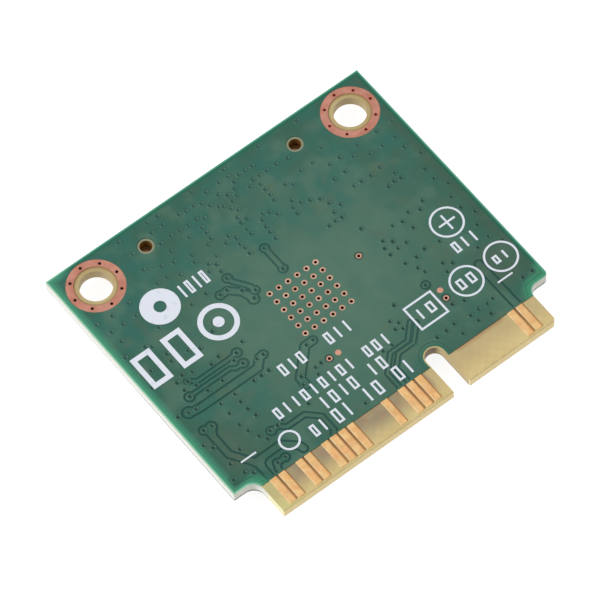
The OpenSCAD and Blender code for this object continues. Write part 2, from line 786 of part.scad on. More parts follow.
memory_pitch = 0.65;
lead_foot = 0.45;
module memory_lands2() {
    translate(memory_at) for (s = [-1, 1], k = [-1.5:1.5])
        translate([k * memory_pitch, s * (memory_span - lead_foot) / 2])
            square([lead_w + 2 * land_rim, lead_foot], center = true);
}

module front_lands2() {
    fence_land2();
    small_lands2(capacitors_at);
    small_lands2(resistors_at);
    jack_lands2();
    chip_lands2();
    package_lands2(amps_at, amp_w, 4, 0.5);
    package_lands2([regulator_at], regulator_w, 3, 0.65);
    two_lands2(inductors_at, inductor_l, inductor_w, 0.6);
    two_lands2(filters_at, filter_l, filter_w, 0.4);
    crystal_lands2();
    memory_lands2();
}

module front_lands() {
    color(tin_c) centred() translate([0, 0, front_z]) linear_extrude(copper_t) front_lands2();
}

module front_mask() {
    color(mask_c) centred() translate([0, 0, front_z]) linear_extrude(copper_t) difference() {
        mask2();
        front_lands2();
        front_contacts2();
    }
}

module front_rings() {
    color(copper_c) centred() translate([0, 0, front_z]) linear_extrude(copper_t) difference() {
        at_mounts() circle(d = ring_od);
        at_mounts() circle(d = ring_id);
        at_ring_vias() circle(d = via_d);
    }
}

// Places along a straight side of the can for its fingers, snap holes and foot openings
function side_count(length) = max(1, ceil(length / finger_w));
module along(x0, y0, x1, y1, at_joints) {
    length = norm([x1 - x0, y1 - y0]);
    n = side_count(length);
    shift = at_joints ? 0 : 0.5;
    last = at_joints ? n : n - 1;
    for (k = [0:last]) translate([x0, y0]) rotate(atan2(y1 - y0, x1 - x0))
        translate([(k + shift) * length / n, 0]) children();
}

// The can's eight straight sides, each with its outside on the left of the run
module at_sides(at_joints) {
    w = can_w / 2;
    n = neck_w / 2;
    ends = [
        [[w - can_r, can_y0], [-w + can_r, can_y0]],
        [[-w, can_y0 + can_r], [-w, can_y1 - can_r]],
        [[-w + can_r, can_y1], [-n - can_r / 2, can_y1]],
        [[-n, can_y1 + can_r / 2], [-n, neck_y - can_r]],
        [[-n + can_r, neck_y], [n - can_r, neck_y]],
        [[n, neck_y - can_r], [n, can_y1 + can_r / 2]],
        [[n + can_r / 2, can_y1], [w - can_r, can_y1]],
        [[w, can_y1 - can_r], [w, can_y0 + can_r]]
    ];
    for (e = ends) along(e[0][0], e[0][1], e[1][0], e[1][1], at_joints) children();
}

// Height of the row of snap holes over the board
snap_z = can_h - skirt_h / 2 - lid_t / 2;

module shield_fence() {
    wall_h = can_h - lid_t;
    bridge_end = can_w / 2 - fence_out - flange_w / 2;
    bridge_y = can_y1 - bridge_inset;
    color(steel_c) centred() on_front() difference() {
        union() {
            linear_extrude(wall_h) difference() {
                can2(fence_out);
                can2(fence_out + fence_t);
            }
            translate([0, 0, wall_h - fence_t]) linear_extrude(fence_t) {
                difference() {
                    can2(fence_out);
                    can2(fence_out + flange_w);
                }
                box2(-bridge_end, bridge_y - bridge_w, bridge_end, bridge_y);
            }
        }
        at_sides(true) translate([-notch_w / 2, -fence_out - 2 * fence_t, -eps])
            cube([notch_w, 4 * fence_t, notch_h]);
        at_sides(false) translate([0, eps, snap_z]) rotate([90, 0, 0])
            cylinder(h = fence_out + fence_t + 2 * eps, d = snap_hole_d);
    }
}

module shield_lid() {
    pocket = pocket_w / 2;
    inner = pocket - lid_t;
    color(steel_c) centred() difference() {
        union() {
            linear_extrude(lid_t) can2(0);
            linear_extrude(skirt_h) difference() {
                can2(0);
                can2(lid_t);
            }
            translate([chip_x, chip_y, 0]) linear_extrude(lid_t + pocket_d)
                round_box2(-pocket, -pocket, pocket, pocket, can_r);
            intersection() {
                at_sides(false) translate([0, -lid_t, can_h - snap_z]) sphere(d = dimple_d);
                linear_extrude(skirt_h) can2(lid_t / 2);
            }
        }
        at_sides(false) translate([0, dimple_d / 4, can_h - snap_z]) sphere(d = dimple_d);
        translate([chip_x, chip_y, -eps]) linear_extrude(pocket_d + eps)
            round_box2(-inner, -inner, inner, inner, can_r - lid_t);
        at_sides(true) translate([-slit_w / 2, -lid_t - eps, lid_t]) cube([slit_w, lid_t + 2 * eps, skirt_h]);
    }
}

// The base, bored for the pin and grooved below for its tail
module receptacle_bases() {
    color(resin_c) centred() on_front() at_jacks() difference() {
        block(0, 0, jack_base, jack_base, jack_base_t);
        translate([0, 0, -eps]) cylinder(h = jack_base_t + 2 * eps, d = jack_pin_d);
        translate([-jack_pin_d / 2, -jack_base, -eps]) cube([jack_pin_d, jack_base, jack_tail_t + eps]);
    }
}

// The collar with its snap groove, and the two feet that hold the base down
module receptacle_shells() {
    r = jack_od / 2;
    reach = jack_base / 2 + foot_t;
    mid = (jack_base_t + jack_h) / 2;
    color(gold_c) centred() on_front() at_jacks() {
        rotate_extrude() polygon([
            [r - jack_wall, jack_base_t], [r, jack_base_t], [r, mid - jack_groove],
            [r - jack_groove, mid], [r, mid + jack_groove], [r, jack_h - jack_bevel],
            [r - jack_bevel, jack_h], [r - jack_wall, jack_h]
        ]);
        for (s = [-1, 1]) {
            block(s * (reach - foot_t / 2), 0, foot_t, foot_l, jack_base_t + strap_t);
            difference() {
                translate([0, 0, jack_base_t]) block(s * reach / 2, 0, reach, foot_l - 0.4, strap_t);
                translate([0, 0, jack_base_t - eps]) cylinder(h = strap_t + 2 * eps, r = r - jack_wall);
            }
        }
    }
}

// The pin, standing on a flat tail that runs out to its land
module receptacle_pins() {
    tail = jack_base / 2 + 0.25;
    color(gold_c) centred() on_front() at_jacks() {
        cylinder(h = jack_h - pin_recess, d = jack_pin_d);
        translate([-jack_pin_d / 2, -tail, 0]) cube([jack_pin_d, tail, jack_tail_t]);
    }
}

module radio_chip() {
    color(chip_c) centred() on_front() difference() {
        package(chip_x, chip_y, chip_w, chip_w, standoff, chip_h);
        first_mark(chip_x, chip_y, chip_w, chip_h, 0.7);
    }
}

module radio_chip_lands() {
    color(tin_c) centred() on_front() linear_extrude(standoff) intersection() {
        chip_lands2();
        translate([chip_x, chip_y]) square(chip_w, center = true);
    }
}

module heat_pad() {
    side = pocket_w - 1;
    color(pad_c) centred() on_front() translate([0, 0, chip_h])
        block(chip_x, chip_y, side, side, can_h - lid_t - pocket_d - chip_h);
}

module amplifier_chips() {
    color(chip_c) centred() on_front() for (p = amps_at) difference() {
        package(p[0], p[1], amp_w, amp_w, 0, amp_h);
        first_mark(p[0], p[1], amp_w, amp_h, 0.35);
    }
}

module band_filters() {
    color(ceramic_c) centred() on_front() for (p = filters_at)
        block(p[0], p[1], filter_l, filter_w, filter_h);
}

module crystal_base() {
    color(ceramic_c) centred() on_front() translate(crystal_at)
        linear_extrude(crystal_h - crystal_lid_h) difference() {
            square([crystal_l, crystal_w], center = true);
            for (x = [-1, 1], y = [-1, 1]) translate([x * crystal_l / 2, y * crystal_w / 2]) circle(0.18);
        }
}

module crystal_can() {
    l = crystal_l / 2 - 0.2;
    w = crystal_w / 2 - 0.2;
    color(tin_c) centred() on_front() translate([crystal_at[0], crystal_at[1], crystal_h - crystal_lid_h])
        linear_extrude(crystal_lid_h) round_box2(-l, -w, l, w, 0.3);
}

module memory_chip() {
    color(chip_c) centred() on_front() difference() {
        package(memory_at[0], memory_at[1], memory_l, memory_w, 2 * standoff, memory_h);
        first_mark(memory_at[0], memory_at[1], memory_w, memory_h, 0.4);
    }
}

// Gull-wing leads, bent from flat strip
module memory_leads() {
    reach = (memory_span - memory_w) / 2;
    knee = memory_h / 2;
    heel = lead_foot - reach;
    color(tin_c) centred() on_front() translate([memory_at[0], memory_at[1], 0])
        for (turn = [0, 180], k = [-1.5:1.5]) rotate(turn)
            translate([k * memory_pitch + lead_w / 2, memory_w / 2, 0]) rotate([90, 0, -90])
                linear_extrude(lead_w) polygon([
                    [0, knee], [heel, knee], [heel, lead_t], [-reach, lead_t], [-reach, 0],
                    [heel + lead_t, 0], [heel + lead_t, knee - lead_t], [0, knee - lead_t]
                ]);
}

module regulator_chip() {
    color(chip_c) centred() on_front() difference() {
        package(regulator_at[0], regulator_at[1], regulator_w, regulator_w, 0, regulator_h);
        first_mark(regulator_at[0], regulator_at[1], regulator_w, regulator_h, 0.35);
    }
}

module inductor_bodies() {
    color(ferrite_c) centred() on_front() for (p = inductors_at)
        block(p[0], p[1], inductor_l - 2 * inductor_end, inductor_w, inductor_h);
}

module inductor_ends() {
    color(tin_c) centred() on_front() for (p = inductors_at, s = [-1, 1])
        block(p[0] + s * (inductor_l - inductor_end) / 2, p[1], inductor_end, inductor_w, inductor_h);
}

module small_bodies(places, h) {
    for (p = places) block(p[0], p[1], small_l - 2 * end_l, small_w, h, p[2]);
}

module small_ends(places, h) {
    for (p = places) translate([p[0], p[1], 0]) rotate(p[2]) for (s = [-1, 1])
        block(s * (small_l - end_l) / 2, 0, end_l, small_w, h);
}

module capacitor_bodies() {
    color(ceramic_c) centred() on_front() small_bodies(capacitors_at, capacitor_h);
}

module capacitor_ends() {
    color(tin_c) centred() on_front() small_ends(capacitors_at, capacitor_h);
}

module resistor_bodies() {
    color(chip_c) centred() on_front() small_bodies(resistors_at, resistor_h);
}

module resistor_ends() {
    color(tin_c) centred() on_front() small_ends(resistors_at, resistor_h);
}

laminate();
rear_copper();
rear_mask();
rear_contacts();
rear_print();
heat_vias();
ring_vias();
test_vias();
front_mask();
front_contacts();
front_rings();
front_lands();
shield_fence();
shield_lid();
receptacle_bases();
receptacle_shells();
receptacle_pins();
radio_chip();
radio_chip_lands();
heat_pad();
amplifier_chips();
band_filters();
crystal_base();
crystal_can();
memory_chip();
memory_leads();
regulator_chip();
inductor_bodies();
inductor_ends();
capacitor_bodies();
capacitor_ends();
resistor_bodies();
resistor_ends();
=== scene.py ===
"""Looks of a laptop's radio card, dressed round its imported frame.

The card lies on the lid of its screening can with its bare back up. The CAD nodes keep their shapes and get
their materials here; the covered vias in the solder mask, too small for the source, are added as pieces.
"""

import json
import math
import random

import bmesh
import bpy
from mathutils import Matrix, Vector


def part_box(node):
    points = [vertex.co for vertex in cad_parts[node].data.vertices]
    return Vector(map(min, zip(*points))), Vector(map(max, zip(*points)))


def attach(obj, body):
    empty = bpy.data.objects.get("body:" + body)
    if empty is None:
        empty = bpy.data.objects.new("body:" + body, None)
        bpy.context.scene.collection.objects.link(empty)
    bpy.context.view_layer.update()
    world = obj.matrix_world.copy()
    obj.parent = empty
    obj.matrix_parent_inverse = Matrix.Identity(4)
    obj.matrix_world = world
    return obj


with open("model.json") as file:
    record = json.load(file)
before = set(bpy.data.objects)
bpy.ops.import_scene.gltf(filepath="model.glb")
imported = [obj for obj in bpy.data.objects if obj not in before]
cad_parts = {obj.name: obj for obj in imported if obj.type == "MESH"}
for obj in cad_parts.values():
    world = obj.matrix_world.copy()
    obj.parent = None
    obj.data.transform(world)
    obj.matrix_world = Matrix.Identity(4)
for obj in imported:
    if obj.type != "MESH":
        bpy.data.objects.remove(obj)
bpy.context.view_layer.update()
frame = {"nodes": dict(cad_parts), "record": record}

MM = 0.001  # every size below is written in millimetres and scaled by this


# ---------------------------------------------------------------- camera, floor and light

CAMERA_PLACE = Vector((-130.4389, -187.0792, 398.6684)) * MM
CAMERA_RIGHT = Vector((0.7881808, -0.6145747, -0.0326964))
CAMERA_DOWN = Vector((-0.5463443, -0.6742409, -0.4968974))
CAMERA_AHEAD = Vector((0.2833354, 0.4095084, -0.8671931))
CAMERA_LENS = 367.239


def set_camera():
    data = bpy.data.cameras.new("card_camera")
    data.sensor_width = 36.0
    data.lens = CAMERA_LENS
    data.clip_start = 0.02
    data.clip_end = 10.0
    camera = bpy.data.objects.new("card_camera", data)
    turn = Matrix((CAMERA_RIGHT, -CAMERA_DOWN, -CAMERA_AHEAD)).transposed()
    camera.matrix_world = Matrix.Translation(CAMERA_PLACE) @ turn.to_4x4()
    bpy.context.scene.collection.objects.link(camera)
    bpy.context.scene.camera = camera


def soft_box(name, place, side, power):
    """A square studio light that faces the card's middle."""
    data = bpy.data.lights.new(name, "AREA")
    data.shape = "SQUARE"
    data.size = side
    data.energy = power
    lamp = bpy.data.objects.new(name, data)
    lamp.location = place
    lamp.rotation_mode = "QUATERNION"
    lamp.rotation_quaternion = (-Vector(place)).to_track_quat("-Z", "Y")
    bpy.context.scene.collection.objects.link(lamp)


def set_light():
    bpy.context.scene.view_settings.view_transform = "Standard"
    world = bpy.data.worlds.new("pale_studio")
    world.use_nodes = True
    backdrop = world.node_tree.nodes["Background"]
    backdrop.inputs["Color"].default_value = (0.93, 0.96, 1.0, 1.0)
    backdrop.inputs["Strength"].default_value = 0.5
    bpy.context.scene.world = world
    soft_box("left_box", (-0.46, 0.26, 0.50), 0.28, 3.6)
    soft_box("right_box", (0.40, -0.34, 0.50), 0.50, 1.1)


# ---------------------------------------------------------------- shader tools


def rgb(red, green, blue):
    """A colour as a picture shows it, 0 to 255, made linear for a shader."""
    def linear(value):
        value /= 255.0
        return value / 12.92 if value <= 0.04045 else ((value + 0.055) / 1.055) ** 2.4
    return (linear(red), linear(green), linear(blue), 1.0)


class Graph:
    """Short ways to add and join the nodes of one tree. An input is a socket or a plain value."""

    def __init__(self, tree):
        self.tree = tree

    def node(self, kind, **settings):
        made = self.tree.nodes.new(kind)
        for name, value in settings.items():
            setattr(made, name, value)
        return made

    def feed(self, socket, value):
        if isinstance(value, bpy.types.NodeSocket):
            self.tree.links.new(value, socket)
        elif value is not None:
            socket.default_value = value

    def maths(self, operation, first, second=None, third=None, clamp=False):
        made = self.node("ShaderNodeMath", operation=operation, use_clamp=clamp)
        for socket, value in zip(made.inputs, (first, second, third)):
            self.feed(socket, value)
        return made.outputs[0]

    def step(self, value, low, high, out_low=0.0, out_high=1.0):
        """A smooth rise from low to high."""
        made = self.node("ShaderNodeMapRange", interpolation_type="SMOOTHSTEP")
        for name, given in (("Value", value), ("From Min", low), ("From Max", high),
                            ("To Min", out_low), ("To Max", out_high)):
            self.feed(made.inputs[name], given)
        return made.outputs["Result"]

    def mix(self, share, first, second):
        made = self.node("ShaderNodeMix", data_type="RGBA")
        for socket, value in zip((made.inputs[0], made.inputs[6], made.inputs[7]), (share, first, second)):
            self.feed(socket, value)
        return made.outputs[2]

    def noise(self, place, scale, detail=3.0, rough=0.5):
        made = self.node("ShaderNodeTexNoise")
        for name, value in (("Vector", place), ("Scale", scale), ("Detail", detail), ("Roughness", rough)):
            self.feed(made.inputs[name], value)
        return made.outputs["Fac"]

    def group(self, name, **values):
        made = self.node("ShaderNodeGroup", node_tree=bpy.data.node_groups[name])
        for socket, value in values.items():
            self.feed(made.inputs[socket.replace("_", " ")], value)
        return made.outputs

    def bump(self, height, distance, strength=1.0):
        """A normal from a height; the distance is what a height of 1 stands for, in millimetres."""
        made = self.node("ShaderNodeBump")
        self.feed(made.inputs["Strength"], strength)
        self.feed(made.inputs["Distance"], distance * MM)
        self.feed(made.inputs["Height"], height)
        return made.outputs["Normal"]


def new_group(name, inputs, outputs):
    """An empty node group with named sockets, as (graph, its inputs, its outputs)."""
    tree = bpy.data.node_groups.new(name, "ShaderNodeTree")
    for socket, kind, value in inputs:
        made = tree.interface.new_socket(name=socket, in_out="INPUT", socket_type=kind)
        if value is not None:
            made.default_value = value
    for socket, kind in outputs:
        tree.interface.new_socket(name=socket, in_out="OUTPUT", socket_type=kind)
    graph = Graph(tree)
    return graph, graph.node("NodeGroupInput").outputs, graph.node("NodeGroupOutput").inputs


def make_groups():
    """The effects that several materials share. Their places are in millimetres."""
    vector, number = "NodeSocketVector", "NodeSocketFloat"

    # soft-edged blobs of a chosen size: 0 outside them, 1 inside
    graph, given, out = new_group(
        "patches", [("Place", vector, None), ("Size", number, 4.0), ("Low", number, 0.4), ("High", number, 0.6)],
        [("Mask", number)])
    blob = graph.noise(given["Place"], graph.maths("DIVIDE", 1.0, given["Size"]), 2.0, 0.45)
    graph.feed(out["Mask"], graph.step(blob, given["Low"], given["High"]))

    # fine moulded, plated or printed grain, as a height and as a mask for the roughness
    graph, given, out = new_group(
        "grain", [("Place", vector, None), ("Size", number, 0.1)], [("Height", number), ("Mask", number)])
    per_mm = graph.maths("DIVIDE", 1.0, given["Size"])
    fine = graph.noise(given["Place"], per_mm, 4.0, 0.6)
    coarse = graph.noise(given["Place"], graph.maths("MULTIPLY", per_mm, 0.22), 2.0, 0.5)
    graph.feed(out["Height"], graph.maths("MULTIPLY_ADD", coarse, 0.5, fine))
    graph.feed(out["Mask"], graph.step(coarse, 0.35, 0.65))

    # lines of rolled or brushed sheet along X
    graph, given, out = new_group(
        "rolled", [("Place", vector, None), ("Size", number, 0.05)], [("Height", number), ("Mask", number)])
    drawn = graph.node("ShaderNodeVectorMath", operation="MULTIPLY")
    graph.feed(drawn.inputs[0], given["Place"])
    drawn.inputs[1].default_value = (0.03, 1.0, 1.0)
    lines = graph.noise(drawn.outputs[0], graph.maths("DIVIDE", 1.0, given["Size"]), 3.0, 0.6)
    broad = graph.noise(drawn.outputs[0], 1.2, 2.0, 0.5)
    graph.feed(out["Height"], lines)
    graph.feed(out["Mask"], graph.step(broad, 0.35, 0.65))

    # a soft-edged box between two corners, seen from above
    graph, given, out = new_group(
        "field", [("X", number, 0.0), ("Y", number, 0.0), ("Left", number, 0.0), ("Right", number, 1.0),
                  ("Low", number, 0.0), ("High", number, 1.0), ("Soft", number, 0.1)], [("Mask", number)])
    inside = None
    for axis, low, high in (("X", "Left", "Right"), ("Y", "Low", "High")):
        rise = graph.step(graph.maths("SUBTRACT", given[axis], given[low]), 0.0, given["Soft"])
        fall = graph.step(graph.maths("SUBTRACT", given[high], given[axis]), 0.0, given["Soft"])
        both = graph.maths("MULTIPLY", rise, fall)
        inside = both if inside is None else graph.maths("MULTIPLY", inside, both)
    graph.feed(out["Mask"], inside)

    # distance from an upright line at X 0 that runs from a low to a high end
    graph, given, out = new_group(
        "pill", [("X", number, 0.0), ("Y", number, 0.0), ("Low", number, 0.0), ("High", number, 1.0)],
        [("Distance", number)])
    past = graph.maths("MAXIMUM", graph.maths("SUBTRACT", given["Y"], given["High"]),
                       graph.maths("SUBTRACT", given["Low"], given["Y"]))
    past = graph.maths("MAXIMUM", past, 0.0)
    graph.feed(out["Distance"], graph.maths("SQRT", graph.maths(
        "MULTIPLY_ADD", given["X"], given["X"], graph.maths("MULTIPLY", past, past))))

    # distance from the rounded inner corner of the notch beside the tongue, on either side
    graph, given, out = new_group(
        "notch", [("X", number, 0.0), ("Y", number, 0.0), ("Tongue", number, 0.0), ("Shoulder", number, 0.0),
                  ("Radius", number, 1.0)], [("Distance", number)])
    across = graph.maths("SUBTRACT", graph.maths("ADD", given["Tongue"], given["Radius"]),
                         graph.maths("ABSOLUTE", given["X"]))
    along = graph.maths("ADD", graph.maths("SUBTRACT", given["Y"], given["Shoulder"]), given["Radius"])
    across = graph.maths("MAXIMUM", across, 0.0)
    along = graph.maths("MAXIMUM", along, 0.0)
    away = graph.maths("SQRT", graph.maths(
        "MULTIPLY_ADD", across, across, graph.maths("MULTIPLY", along, along)))
    graph.feed(out["Distance"], graph.maths("SUBTRACT", away, given["Radius"]))

    # 1 near a point and its mirror image across the card, 0 beyond the radius
    graph, given, out = new_group(
        "round_pair", [("X", number, 0.0), ("Y", number, 0.0), ("Middle X", number, 0.0),
                       ("Middle Y", number, 0.0), ("Radius", number, 1.0), ("Soft", number, 0.1)],
        [("Mask", number), ("Distance", number)])
    across = graph.maths("SUBTRACT", graph.maths("ABSOLUTE", given["X"]), given["Middle X"])
    along = graph.maths("SUBTRACT", given["Y"], given["Middle Y"])
    away = graph.maths("SQRT", graph.maths(
        "MULTIPLY_ADD", across, across, graph.maths("MULTIPLY", along, along)))
    far = graph.step(away, given["Radius"], graph.maths("ADD", given["Radius"], given["Soft"]))
    graph.feed(out["Mask"], graph.maths("SUBTRACT", 1.0, far))
    graph.feed(out["Distance"], away)


def new_material(name, roughness, metallic=0.0, specular=0.5, coat=0.0, coat_roughness=0.1):
    """A material with one Principled shader, as (material, graph, shader, place in mm, x, y, z)."""
    material = bpy.data.materials.new(name)
    material.use_nodes = True
    graph = Graph(material.node_tree)
    shader = material.node_tree.nodes["Principled BSDF"]
    shader.inputs["Roughness"].default_value = roughness
    shader.inputs["Metallic"].default_value = metallic
    shader.inputs["Specular IOR Level"].default_value = specular
    shader.inputs["Coat Weight"].default_value = coat
    shader.inputs["Coat Roughness"].default_value = coat_roughness
    scaled = graph.node("ShaderNodeVectorMath", operation="SCALE")
    graph.feed(scaled.inputs["Vector"], graph.node("ShaderNodeTexCoord").outputs["Object"])
    scaled.inputs["Scale"].default_value = 1.0 / MM
    place = scaled.outputs["Vector"]
    split = graph.node("ShaderNodeSeparateXYZ")
    graph.feed(split.inputs[0], place)
    return material, graph, shader, place, *split.outputs


# ---------------------------------------------------------------- the card's measures, some read from its nodes, the rest given


def box_mm(node):
    low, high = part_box(node)
    return low / MM, high / MM


BOARD_LOW, BOARD_HIGH = box_mm("laminate")
MASK_LOW, MASK_HIGH = box_mm("rear_mask")
HEAT_LOW, HEAT_HIGH = box_mm("heat_vias")
CONTACT_LOW, CONTACT_HIGH = box_mm("rear_contacts")
HALF_W = BOARD_HIGH.x
END_Y = BOARD_LOW.y
TOP_Y = BOARD_HIGH.y
MASK_TOP = MASK_HIGH.z
SHOULDER_Y = END_Y + 3.4
TONGUE_HALF = 12.825
MASK_EDGE_Y = MASK_LOW.y
MOUNT_X, MOUNT_Y = 12.1, TOP_Y - 2.65
JACK_X, JACK_Y = 7.1, TOP_Y - 2.25
KEY_X = 3.85
KEY_W = 1.55
KEY_MID_Y = END_Y + 4.0 - KEY_W / 2
CLOTH_PITCH = 0.9
CONTACT_PITCH = 0.8
CONTACT_W = 0.62
REAR_MIDDLE = 14.75
CONTACT_RUNS = ((0, 1), (3, 4), (6, 9), (13, 13), (15, 17), (28, 29))


# ---------------------------------------------------------------- materials


def solder_mask_rear():
    """Green lacquer: greyer over the chip's copper, teal at the rim, bright where no copper lies below it, with
    painted light on the left rim and painted shade in the grooves.
    """
    material, graph, shader, place, x, y, z = new_material("solder_mask_rear", 0.36, specular=0.3)
    across = graph.maths("DIVIDE", graph.maths("SUBTRACT", x, 1.0), 12.5)
    along = graph.maths("DIVIDE", graph.maths("ADD", y, 0.6), 11.0)
    away = graph.maths("SQRT", graph.maths(
        "MULTIPLY_ADD", across, across, graph.maths("MULTIPLY", along, along)))
    wander = graph.maths("MULTIPLY_ADD", graph.noise(place, 0.2, 2.0), 0.7, -0.35)
    middle = graph.step(graph.maths("ADD", away, wander), 0.25, 1.3, 1.0, 0.0)
    colour = graph.mix(middle, rgb(52, 94, 77), rgb(80, 113, 95))
    # teal among the vias of the far part and beside the long tracks, pale between them
    far = graph.step(y, 2.5, 6.0, 0.25, 0.6)
    beside = graph.group("field", X=x, Y=y, Left=-HALF_W + 0.4, Right=-HALF_W + 9.0, Low=END_Y + 7.0,
                         High=END_Y + 14.0, Soft=1.5)["Mask"]
    far = graph.maths("MAXIMUM", far, graph.maths("MULTIPLY", beside, 0.5))
    blue = graph.group("patches", Place=place, Size=1.8, Low=0.32, High=0.64)["Mask"]
    colour = graph.mix(graph.maths("MULTIPLY", blue, far), colour, rgb(46, 102, 92))
    pale = graph.group("patches", Place=place, Size=2.4, Low=0.44, High=0.7)["Mask"]
    colour = graph.mix(graph.maths("MULTIPLY", pale, 0.5), colour, rgb(86, 117, 98))
    # brownish copper shows through beside both shoulders
    corner = graph.maths("MAXIMUM", *(graph.group(
        "field", X=x, Y=y, Left=low, Right=low + 3.6, Low=END_Y + 3.8, High=END_Y + 9.0, Soft=1.2)["Mask"]
        for low in (-HALF_W + 0.5, HALF_W - 4.3)))
    colour = graph.mix(graph.maths("MULTIPLY", corner, 0.35), colour, rgb(82, 92, 74))
    brown = graph.group("patches", Place=place, Size=1.5, Low=0.55, High=0.8)["Mask"]
    colour = graph.mix(graph.maths("MULTIPLY", brown, 0.3), colour, rgb(92, 96, 76))
    # the copper's rim shines through brownish along the right side
    right_rim = graph.step(x, HALF_W - 1.5, HALF_W - 0.5)
    colour = graph.mix(graph.maths("MULTIPLY", right_rim, 0.4), colour, rgb(70, 80, 60))
    # how deep inside the board's outline a point lies, and how far from the key slot
    side = graph.maths("SUBTRACT", HALF_W, graph.maths("ABSOLUTE", x))
    top = graph.maths("SUBTRACT", TOP_Y, y)
    shoulder = graph.group("notch", X=x, Y=y, Tongue=TONGUE_HALF, Shoulder=SHOULDER_Y, Radius=0.9)["Distance"]
    slot = graph.maths("SUBTRACT", graph.group(
        "pill", X=graph.maths("SUBTRACT", x, KEY_X), Y=y, Low=END_Y, High=KEY_MID_Y)["Distance"], KEY_W / 2)
    depth = graph.maths("MINIMUM", graph.maths("MINIMUM", side, top), graph.maths("MINIMUM", shoulder, slot))
    # no copper below: the lacquer over bare board is darker beside the tracks, darkened further by painted shade in
    # the dips, and bright along the outline
    low = graph.step(z, MASK_TOP - 0.012, MASK_TOP - 0.03)
    inner = graph.maths("MULTIPLY", graph.step(depth, 0.55, 0.75), graph.step(slot, 0.8, 1.2))
    groove_tone_and_shade = graph.mix(middle, rgb(32, 76, 68), rgb(50, 92, 82))
    colour = graph.mix(graph.maths("MULTIPLY", low, inner), colour, groove_tone_and_shade)
    # painted light: the rim band is painted brighter and wider along the left side, as if lit through the edge that
    # faces the left lamp
    left = graph.step(x, -HALF_W + 2.5, -HALF_W + 0.8)
    near = graph.step(y, SHOULDER_Y + 1.7, SHOULDER_Y + 0.9)
    outer = graph.step(side, 5.0, 4.0)
    notch = graph.maths("MULTIPLY", near, outer)
    ridge = graph.mix(left, graph.mix(notch, rgb(34, 100, 78), rgb(60, 134, 102)), rgb(66, 140, 110))
    band = graph.mix(graph.step(depth, 0.18, 0.04), ridge, graph.mix(left, rgb(94, 164, 134), rgb(140, 196, 162)))
    width = graph.step(left, 0.0, 1.0, 0.62, 0.82)
    wide = graph.step(outer, 0.0, 1.0, 0.6, graph.step(left, 0.0, 1.0, 1.7, 0.7))
    width = graph.maths("MULTIPLY", width, graph.step(near, 0.0, 1.0, 1.0, wide))
    rim = graph.step(depth, width, graph.maths("MULTIPLY", width, 0.25))
    colour = graph.mix(rim, colour, band)
    graph.feed(shader.inputs["Base Color"], colour)
    grain = graph.group("grain", Place=place, Size=0.16)
    graph.feed(shader.inputs["Roughness"], graph.step(grain["Mask"], 0.0, 1.0, 0.32, 0.44))
    graph.feed(shader.inputs["Normal"], graph.bump(grain["Height"], 0.004))
    return material


def solder_mask_plain(name, tint):
    """The same lacquer on the component side and over the vias."""
    material, graph, shader, place, x, y, z = new_material(name, 0.36, specular=0.3)
    cloudy = graph.group("patches", Place=place, Size=2.6, Low=0.4, High=0.66)["Mask"]
    darker = tuple(0.72 * value for value in tint[:3]) + (1.0,)
    graph.feed(shader.inputs["Base Color"], graph.mix(cloudy, tint, darker))
    grain = graph.group("grain", Place=place, Size=0.16)
    graph.feed(shader.inputs["Roughness"], graph.step(grain["Mask"], 0.0, 1.0, 0.3, 0.42))
    graph.feed(shader.inputs["Normal"], graph.bump(grain["Height"], 0.004))
    return material


def via_dip_lacquer():
    """The lacquer over a via: thicker in the middle, where it has sunk into the hole, and darkened there with
    painted shade.
    """
    material, graph, shader, place, x, y, z = new_material("via_lacquer", 0.38, specular=0.35)
    reach = graph.node("ShaderNodeAttribute", attribute_name="reach").outputs["Fac"]
    cloudy = graph.group("patches", Place=place, Size=2.6, Low=0.4, High=0.66)["Mask"]
    thin = graph.mix(cloudy, rgb(52, 98, 82), rgb(62, 106, 90))
    sunk = graph.step(reach, 0.85, 0.15)
    # painted shade in the dips, fainter towards the far edge
    dark = graph.mix(graph.step(y, -2.0, 9.0), rgb(20, 56, 48), rgb(38, 80, 72))
    graph.feed(shader.inputs["Base Color"], graph.mix(sunk, thin, dark))
    graph.feed(shader.inputs["Normal"], graph.bump(graph.maths("MULTIPLY", sunk, -1.0), 0.06))
    return material


